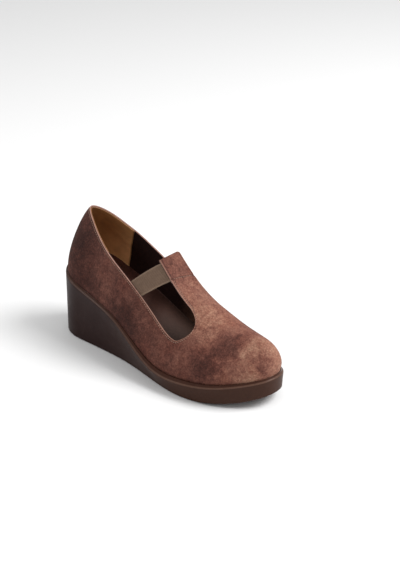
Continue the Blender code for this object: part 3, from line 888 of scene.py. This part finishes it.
def woven_elastic():
    """Woven rubber-core elastic: matt taupe yarn in ribs along the band, crossed by weft
    picks, with a paler selvage at both edges."""
    material, tree, shader = new_material(
        "woven_elastic", Roughness=0.85, Specular_IOR_Level=0.2, Sheen_Weight=0.08)
    along_band, off_middle, _ = axes(tree, add(tree, "ShaderNodeUVMap", uv_map="flat").outputs[0])
    picks, ribs = (
        maths(tree, 'SINE', maths(tree, 'MULTIPLY', place, 2 * math.pi / pitch))
        for place, pitch in ((along_band, PICK_PITCH), (off_middle, RIB_PITCH)))
    weave = maths(tree, 'MULTIPLY', picks, ribs)
    height = maths(tree, 'MULTIPLY_ADD', weave, 0.6, ribs)
    shade = blend(tree, between(tree, height, -1.4, 1.4, 0.0, 1.0), "#594639", "#7d6655")
    half = BAND_WIDTH / 2
    selvage = between(tree, maths(tree, 'ABSOLUTE', off_middle),
                      half - SELVAGE, half - SELVAGE + SELVAGE_EASE, 0.0, 0.5)
    shade = blend(tree, selvage, shade, "#8b7462")
    mottle(tree, shader, shade, millimetres(tree), 3.0, 0.10)
    relief(tree, shader, height, 0.5, 0.0003)
    return material


def sewing_thread():
    """Bonded polyester thread, twisted: a dull shine on each stitch, paler than the suede, partly
    its own colour and partly a painted highlight.
    """
    material, tree, shader = new_material(
        "bonded_polyester_thread", Roughness=0.5, Specular_IOR_Level=0.4)
    mm = millimetres(tree)
    # Pale thread colour: partly the thread's own colour and partly a painted highlight on each
    # stitch.
    mottle(tree, shader, blend(tree, cloudy(tree, mm, 3.0)[0], "#8f6e5e", "#a98775"), mm, 0.5, 0.2)
    relief(tree, shader, cloudy(tree, mm, 0.4)[0], 0.3, 0.0001)
    return material


def foot_of(a, side):
    """Hem of the upper, inside the seat under its feather line."""
    return outline(a, side, ledge(a), bed_height(a) + GAP)


def quarter_grid(a, side, top, depth=0.0, hem=True):
    """Rows up one side: hem, feather line, then evenly spaced angles up to the top angle."""
    share = np.linspace(0, 1, QUARTER_STEPS + 1)
    rows = wall(a[:, None], side, top[:, None] * share, depth)
    if not hem:
        return rows
    return np.concatenate([foot_of(a, side)[:, None], rows], 1)


def seam_distance(a):
    """Distance along the strap from the seam that closes its loop."""
    return (np.asarray(a) - STRAP_STATION) * strap_frame(STRAP_STATION, 0.5)[2] - LOOP_SEAM


def strap_rows(a, depth=0.0, swing=0.0, radius=0.0, inset=0.0):
    """Points across the strap at several stations.

    They may be lowered by a depth, swung round the strap's end at a radius, or narrowed by
    an inset. The outer face is pressed in along the loop's seam.
    """
    inset = np.reshape(inset, (-1, 1)) / STRAP_WIDTH
    share = inset + (1 - 2 * inset) * np.linspace(0, 1, 2 * HALF_STRAP_STEPS + 1)
    heelward, out, _ = strap_frame(a[:, None], share)
    point = strap_point(a[:, None], share)
    depth = np.reshape(depth, (-1, 1))
    pressed = SEAM_DEPTH * np.exp(-(seam_distance(a) / SEAM_WIDTH) ** 2)[:, None] * (depth == 0)
    point = point - (worn(point) + pressed + depth)[..., None] * out
    swing = np.reshape(swing, (-1, 1, 1))
    return point + radius * (np.sin(swing) * heelward - (1 - np.cos(swing)) * out)


def strap_grid():
    """The strap: back from the cut-outs to its end, round the fold and back under itself."""
    there = strap_rows(STRAP_STATIONS)
    swing = np.linspace(0, np.pi, BEND_STEPS + 1)[1:]
    end = np.full(len(swing), STRAP_STATION)
    round_end = strap_rows(end, 0.0, swing, FOLD_RADIUS, FOLD_INSET * swing / np.pi)
    step = np.linspace(0, 1, RETURN_STEPS + 1)[1:]
    back = STRAP_STATION + FOLD_LENGTH / strap_frame(STRAP_STATION, 0.5)[2] * step
    closing = smooth((FOLD_LENGTH * (step - 1) + FOLD_TAPER) / FOLD_TAPER)
    depth = 2 * FOLD_RADIUS + (2 * SUEDE + GAP - 2 * FOLD_RADIUS) * closing
    under = strap_rows(back, depth, inset=FOLD_INSET)
    return np.concatenate([there, round_end, under])


def vamp_grid(a, depth=0.0, hem=True):
    """Columns over the vamp, whose rows meet those of the quarters and the strap at the cut."""
    mix = smooth((a - CUT_STATION) / (1 - CUT_STATION))
    even = np.pi / 2 * QUARTER_STEPS / (QUARTER_STEPS + HALF_STRAP_STEPS)
    share = np.linspace(0, 1, HALF_STRAP_STEPS + 1)
    halves = []
    for side in SIDES:
        split = edge_angles(CUT_STATION, side)[0] * (1 - mix) + even * mix
        low = quarter_grid(a, side, split, depth, hem)
        high = wall(a[:, None], side, split[:, None] + (np.pi / 2 - split[:, None]) * share, depth)
        halves.append(np.concatenate([low[:, :-1], high], 1))
    crown = (halves[0][:, -1:] + halves[1][:, -1:]) / 2
    return np.concatenate([halves[0][:, :-1], crown, halves[1][:, -2::-1]], 1)


def upper(suede, cut_edge):
    """Suede of the upper as one sheet: quarters, vamp and folded strap."""
    piece = Piece()
    for side in SIDES:
        rows = quarter_grid(BACK_STATIONS, side, edge_angles(BACK_STATIONS, side)[0])
        piece.grid(rows, side == OUTER, length_of(rows - rows[:, -1:]))
    rows = strap_grid()
    near = np.minimum(length_of(rows - rows[:, :1]), length_of(rows - rows[:, -1:]))
    # The loop's seam gets the stitch-inset distance, so the suede's painted furrow shade draws a
    # dark line along it.
    stitched = np.abs(seam_distance(STRAP_STATIONS)) < SEAM_MARK
    near[:len(stitched)][stitched] = STITCH_INSET
    piece.grid(rows, False, near)
    rows = vamp_grid(FRONT_STATIONS)
    tips = rows[0, QUARTER_STEPS + 1], rows[0, -QUARTER_STEPS - 2]
    near = np.minimum(length_of(rows - tips[0]), length_of(rows - tips[1]))
    piece.grid(rows, True, near)
    made = piece.build("upper_suede", [suede, cut_edge], SUEDE, SUEDE_EDGE_ROUND, rim=1)
    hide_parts("upper")


def lining_front(side, share):
    """Distance from the heel to the heel lining's front edge, at a share of the way up."""
    lean = (HEEL_LINING_TOP - HEEL_LINING_FOOT) * share ** HEEL_LINING_POWER
    return HEEL_LINING_FOOT + lean + (HEEL_LINING_OUTER_LEAD if side == OUTER else 0)


def linings(tan, dark):
    """Tan leather round the heel and dark cloth from there to the toe, inside the suede."""
    depth = SUEDE + LINING_CLEARANCE
    heel = Piece()
    share = np.linspace(0, 1, QUARTER_STEPS + 1)
    for side in SIDES:
        front = station(lining_front(side, share))
        a = np.linspace(0, 1, LINING_STEPS + 1)[:, None] * front
        rows = wall(a, side, edge_angles(a, side)[0] * share, depth + LINING)
        heel.grid(rows, side == OUTER, length_of(rows - rows[-1:]))
    made = heel.build("heel_lining", [tan], LINING, LINING_EDGE_ROUND)
    body = Piece()
    for side in SIDES:
        a = BACK_STATIONS[BACK_STATIONS > station(HEEL_LINING_FOOT - LINING_OVERLAP)]
        rows = quarter_grid(a, side, edge_angles(a, side)[0], depth, hem=False)
        body.grid(rows, side == OUTER, length_of(rows - rows[:, -1:]))
    body.grid(vamp_grid(FRONT_STATIONS, depth, hem=False), True)
    made = body.build("vamp_lining", [dark], LINING, LINING_EDGE_ROUND)


def insole(sock):
    """Leather sock over the insole board, dished along its middle where it is wide enough."""
    a = SOLE_STATIONS
    edges = {}
    for side in SIDES:
        tall = ridge(a)[:, 2] - feather(a, side)[:, 2]
        share = (GAP + INSOLE_THICK - SEAT_DEPTH) / tall
        angle = np.arcsin(share ** (section(a, side, 1) / 2))
        edges[side] = last(a, side, angle) - (LEATHER + GAP) * last_frame(a, side, angle)[1]
    for end in (0, -1):
        edges[OUTER][end] = edges[INNER][end] = (edges[OUTER][end] + edges[INNER][end]) / 2
    across = np.linspace(0, 1, SOCK_STEPS + 1)
    breadth = edges[INNER] - edges[OUTER]
    top = edges[OUTER][:, None] + breadth[:, None] * across[None, :, None]
    dish = INSOLE_DISH * np.sin(np.pi * across) ** DISH_POWER
    top[..., 2] -= dish * np.minimum(1, length_of(breadth) / DISH_FADE_WIDTH)[:, None]
    piece = Piece()
    piece.grid(top)
    inset = ledge(a) + LEATHER + GAP
    low = bed_height(a) + GAP
    for side in SIDES:
        seat = outline(a, side, inset, low + SEAT_DEPTH - GAP)
        piece.grid(np.stack([outline(a, side, inset, low), seat, edges[side]]), side == INNER)
    bottom = np.stack([outline(a, side, inset, low) for side in SIDES])
    piece.grid(bottom, True)
    made = piece.build("insole_sock", [sock])
    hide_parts("insole")


def sole(moulded):
    """Wedge, rim, shoulder and seat as one profile carried round the outline.

    The profile is a list of (inset, height). The wall bows by a parabola that keeps
    BULGE_SHARE of the undercut at half height.
    """
    a = SOLE_STATIONS
    tread = tread_height(a)
    rim = rim_height(a)
    under = WAIST_UNDERCUT * curve(SIDE_SHARES, 2, along(a) / LENGTH)
    shelf = ledge(a) - GAP
    profile = []
    for turn in np.linspace(0, np.pi / 2, TREAD_CORNER_STEPS + 1):
        inset = under + TREAD_RADIUS * (1 - np.sin(turn))
        profile.append((inset, tread + TREAD_RADIUS * (1 - np.cos(turn))))
    low = tread + TREAD_RADIUS
    high = rim - RIM_RADIUS
    for t in np.linspace(0, 1, SIDE_STEPS + 1)[1:]:
        bow = (1 - t) ** 2 + 2 * t * (1 - t) * (2 * BULGE_SHARE - 0.5)
        profile.append((under * bow, low + (high - low) * t))
    rim_start = len(profile) - 1
    for turn in np.linspace(0, np.pi / 2, RIM_STEPS + 1)[1:]:
        profile.append((RIM_RADIUS * (1 - np.cos(turn)), high + RIM_RADIUS * np.sin(turn)))
    roll_start = len(profile) - 2
    for t in np.linspace(0, 1, SHOULDER_STEPS + 1)[1:]:
        inset = RIM_RADIUS + (shelf - RIM_RADIUS) * t
        roll = SHOULDER_LEVEL_SHARE * smooth(t * SHOULDER_EASE) + BEAD_SHARE * np.sin(np.pi * t)
        inset = np.maximum(inset, RIM_RADIUS * SHELF_TO_RIM_SHARE)
        profile.append((inset, rim + SHOULDER_RISE * roll))
    profile.append((shelf, bed_height(a)))
    crease_start = len(profile) - 4
    # The edge_distance levels mark the rim rows (painted highlight in the sole's material), the
    # roll, and the crease next to the upper (painted shade).
    rank = np.arange(len(profile))
    roll_share = (RIM_VALUE * smooth((rank - rim_start) / 2)
                  + (ROLL_VALUE - RIM_VALUE) * smooth((rank - roll_start) / 3)
                  + (CREASE_VALUE - ROLL_VALUE) * smooth((rank - crease_start) / 2))
    piece = Piece()
    for side in SIDES:
        rows = np.stack([outline(a, side, inset, height) for inset, height in profile])
        piece.grid(rows, side == INNER, edge=np.broadcast_to(roll_share[:, None], rows.shape[:2]))
    outer = outline(a, OUTER, under + TREAD_RADIUS, tread)
    inner = outline(a, INNER, under + TREAD_RADIUS, tread)
    across = np.linspace(0, 1, TREAD_STEPS + 1)
    rows = outer[:, None] + (inner - outer)[:, None] * across[None, :, None]
    rows[..., 2] += tread_relief(rows, outer, inner)
    piece.grid(rows, True, edge=np.zeros(rows.shape[:2]))
    bed = np.stack([outline(a, side, shelf, bed_height(a)) for side in SIDES])
    piece.grid(bed, edge=np.zeros(bed.shape[:2]))
    made = piece.build("moulded_wedge_sole", [moulded])
    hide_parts("wedge_sole")


def tread_relief(rows, outer, inner):
    """Grooves across the tread: a rounded square wave along the shoe, faded near the edges."""
    width = np.abs(inner[:, 1] - outer[:, 1])[:, None]
    x, y = rows[..., 0], rows[..., 1]
    edge = np.minimum(np.abs(y - outer[:, None, 1]), np.abs(y - inner[:, None, 1]))
    wave = np.sin(2 * np.pi * (x + TREAD_SWEEP * y ** 2 / BALL_WIDTH) / TREAD_PITCH)
    groove = smooth((wave - GROOVE_START) / GROOVE_EASE)
    place = x / LENGTH
    zone = sum(smooth((place - start) / ZONE_FADE) * smooth((end - place) / ZONE_FADE)
               for start, end in TREAD_ZONES)
    inside = smooth((edge - TREAD_MARGIN) / TREAD_MARGIN_FADE) * (width > 2 * TREAD_MARGIN)
    return TREAD_DEPTH * groove * zone * inside


def band_row(middle, side, angle, sweep, across):
    """Points across the band at one angle of the last, just inside the leather."""
    size = last_frame(middle, side, angle)[2]
    a = middle + (across - sweep) / size
    return last(a, side, angle) - (LEATHER + GAP) * last_frame(a, side, angle)[1]


def loop_row(middle, share, across):
    """Points across the band inside the strap's loop."""
    a = middle + across / strap_frame(middle, share)[2]
    return strap_point(a, share) - (LEATHER + GAP) * strap_frame(a, share)[1]


def band_half(middle, side, loop_edge, across):
    """The band from its tucked end up to the loop.

    Its free span is straight but for a share of the last's bow.
    """
    landing = middle - BAND_SWEEP / last_frame(middle, side, np.pi / 2)[2]
    topline = edge_angles(landing, side)[0]
    strap = edge_angles(middle, side)[1]
    tall = ridge(landing)[2] - feather(landing, side)[2]
    rise = section(landing, side, 1)
    tuck = np.arcsin((np.sin(topline) ** (2 / rise) - BAND_TUCK / tall) ** (rise / 2))
    rows = []
    for angle in np.linspace(tuck, topline, TUCK_STEPS, endpoint=False):
        sweep = BAND_SWEEP * (strap - angle) / (strap - topline)
        rows.append(band_row(middle, side, angle, sweep, across))
    landing_row = band_row(middle, side, topline, BAND_SWEEP, across)
    crossing_row = band_row(middle, side, strap, 0, across)
    for share in np.linspace(0, 1, SPAN_STEPS, endpoint=False):
        angle = topline + (strap - topline) * share
        draped = band_row(middle, side, angle, BAND_SWEEP * (1 - share), across)
        bow = draped - landing_row - (crossing_row - landing_row) * share
        rows.append(landing_row + (loop_edge - landing_row) * share + bow * BAND_BOW_SHARE)
    return rows


def band(elastic):
    """Woven elastic from the outer quarter, through the loop, to the inner quarter."""
    across = BAND_WIDTH * np.linspace(0.5, -0.5, 2 * BAND_HALF_STEPS + 1)
    middle = STRAP_STATION + (BAND_SETBACK + BAND_WIDTH / 2) / strap_frame(STRAP_STATION, 0.5)[2]
    loop = [loop_row(middle, share, across) for share in np.linspace(0, 1, LOOP_STEPS + 1)]
    inner = band_half(middle, INNER, loop[-1], across)
    rows = np.array(band_half(middle, OUTER, loop[0], across) + loop + inner[::-1])
    run = run_along(rows[:, BAND_HALF_STEPS])
    flat = np.stack(np.broadcast_arrays(run[:, None], across[None, :]), -1)
    piece = Piece()
    piece.grid(rows, True, flat=flat)
    made = piece.build("elastic_band_woven", [elastic], BAND_THICK, BAND_EDGE_ROUND)
    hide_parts("elastic_band")


def line_of_stitches(name, path, out, thread):
    """Capsules laid nose to tail along a path, half sunk: an ellipsoid grid at each pitch."""
    run = run_along(path)
    places = np.arange(STITCH_PITCH, run[-1] - STITCH_PITCH / 2, STITCH_PITCH)
    centre, ahead, normal = (
        np.stack([np.interp(place, run, values[:, k]) for k in range(3)], -1)
        for place, values in ((places, path), (places + STITCH_AHEAD, path), (places, out)))
    normal = unit(normal)
    tangent = unit(ahead - centre)
    across = unit(np.cross(tangent, normal))
    normal = np.cross(across, tangent)
    piece = Piece()
    polar = np.linspace(0, np.pi, STITCH_RINGS + 1)[:, None, None]
    turn = np.linspace(0, 2 * np.pi, STITCH_SIDES + 1)[None, :, None]
    radius = np.sin(polar) ** STITCH_END_POWER * THREAD / 2
    for k in range(len(places)):
        spine = centre[k] - np.cos(polar) * STITCH_LENGTH / 2 * tangent[k]
        piece.grid(spine + radius * (np.cos(turn) * across[k] + np.sin(turn) * normal[k]))
    made = piece.build(name, [thread])


def stitching(thread):
    """Dotted lines inside the topline and strap edges and across the folded strap."""
    seam = STRAP_STATION + LOOP_SEAM / strap_frame(STRAP_STATION, 0.5)[2]
    for side, word in ((OUTER, "outer"), (INNER, "inner")):
        a = BACK_STATIONS[1:]
        top = edge_angles(a, side)[0]
        size = length_of(last(a, side, top) - last(a, side, top - STATION_STEP)) / STATION_STEP
        angle = top - STITCH_INSET / size
        out = last_frame(a, side, angle)[1]
        line_of_stitches(f"topline_stitches_{word}", wall(a, side, angle), out, thread)
        a = STRAP_STATIONS[STRAP_STATIONS > seam][::-1]
        inset = STITCH_INSET / length_of(strap_point(a, 1.0) - strap_point(a, 0.0))
        share = inset if side == OUTER else 1 - inset
        out = strap_frame(a, share)[1]
        line_of_stitches(f"strap_stitches_{word}", strap_point(a, share), out, thread)
    share = np.linspace(LOOP_STITCH_MARGIN_SHARE, 1 - LOOP_STITCH_MARGIN_SHARE, LOOP_SEAM_STEPS + 1)
    out = strap_frame(seam, share)[1]
    line_of_stitches("loop_stitches", strap_point(seam, share) - SEAM_DEPTH * out, out, thread)


def floor_and_lights():
    """Pale floor, a large soft light, a small one on the rim, and an even white sky."""
    bpy.ops.mesh.primitive_plane_add(size=FLOOR_SIZE, location=(0, 0, 0))
    ground = bpy.context.object
    ground.name = "pale_floor"
    material, _, shader = new_material("pale_floor", Roughness=0.9)
    shader.inputs["Base Color"].default_value = (FLOOR_GREY, FLOOR_GREY, FLOOR_GREY, 1)
    ground.data.materials.append(material)
    world = bpy.data.worlds.new("studio")
    bpy.context.scene.world = world
    world.use_nodes = True
    sky = world.node_tree.nodes["Background"]
    sky.inputs["Color"].default_value = (1, 1, 1, 1)
    sky.inputs["Strength"].default_value = SKY_STRENGTH
    for name, place, size, power in LIGHTS:
        light = bpy.data.lights.new(name, 'AREA')
        light.size = size
        light.energy = power
        lamp = bpy.data.objects.new(name, light)
        bpy.context.scene.collection.objects.link(lamp)
        lamp.location = place
        aim = Vector(LIGHT_TARGET) - Vector(place)
        lamp.rotation_euler = aim.to_track_quat('-Z', 'Y').to_euler()


def camera():
    """Camera at the photograph's angle, distance and framing."""
    a = math.radians(CAMERA_AZIMUTH)
    e = math.radians(CAMERA_ELEVATION)
    back = Vector((math.sin(a) * math.cos(e), -math.cos(a) * math.cos(e), math.sin(e)))
    data = bpy.data.cameras.new("camera")
    data.sensor_width = SENSOR_WIDTH
    data.lens = PIXELS_PER_METRE * CAMERA_DISTANCE / PHOTO_HEIGHT * data.sensor_width
    data.shift_x = (PHOTO_WIDTH / 2 - TARGET_PIXEL[0]) / PHOTO_HEIGHT
    data.shift_y = (TARGET_PIXEL[1] - PHOTO_HEIGHT / 2) / PHOTO_HEIGHT
    made = bpy.data.objects.new("camera", data)
    bpy.context.scene.collection.objects.link(made)
    made.location = Vector((0, -middle_across(), CAMERA_TARGET_HEIGHT)) + back * CAMERA_DISTANCE
    made.rotation_euler = (-back).to_track_quat('-Z', 'Y').to_euler()
    bpy.context.scene.camera = made


bpy.context.scene.view_settings.view_transform = 'Standard'
camera()
floor_and_lights()
sole(moulded_sole())
insole(sock_leather())
upper(brushed_suede(), raw_edge())
linings(lining_leather(), lining_cloth())
band(woven_elastic())
stitching(sewing_thread())
